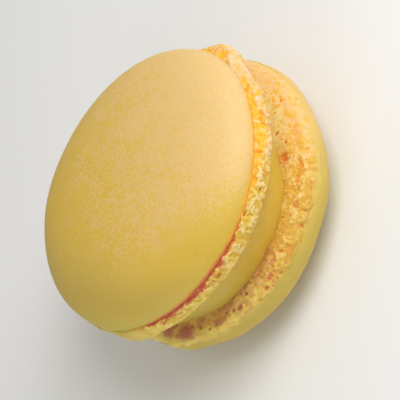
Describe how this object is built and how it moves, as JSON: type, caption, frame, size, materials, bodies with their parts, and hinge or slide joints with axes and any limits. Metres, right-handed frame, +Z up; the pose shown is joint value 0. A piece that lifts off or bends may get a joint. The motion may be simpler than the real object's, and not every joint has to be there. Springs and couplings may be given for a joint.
{
  "type": "french macaron",
  "caption": "Round almond biscuit sandwich: two smooth domed shells with crinkled feet, joined by a disc of pale filling, lying on its lower shell.",
  "frame": {"origin": "centre of the small flat spot under the lower shell, on which the macaron rests", "axes": "+Z up, along the lower shell's own axis, from the lower shell to the upper one"},
  "size_m": [0.0472, 0.0466, 0.0266],
  "materials": {
    "lower_shell": "satin baked almond meringue",
    "filling": "smooth satin filling",
    "upper_shell": "satin baked almond meringue"
  },
  "bodies": {
    "root": {"lower_shell": "lower_shell", "filling": "filling", "upper_shell": "upper_shell"}
  },
  "joints": []
}
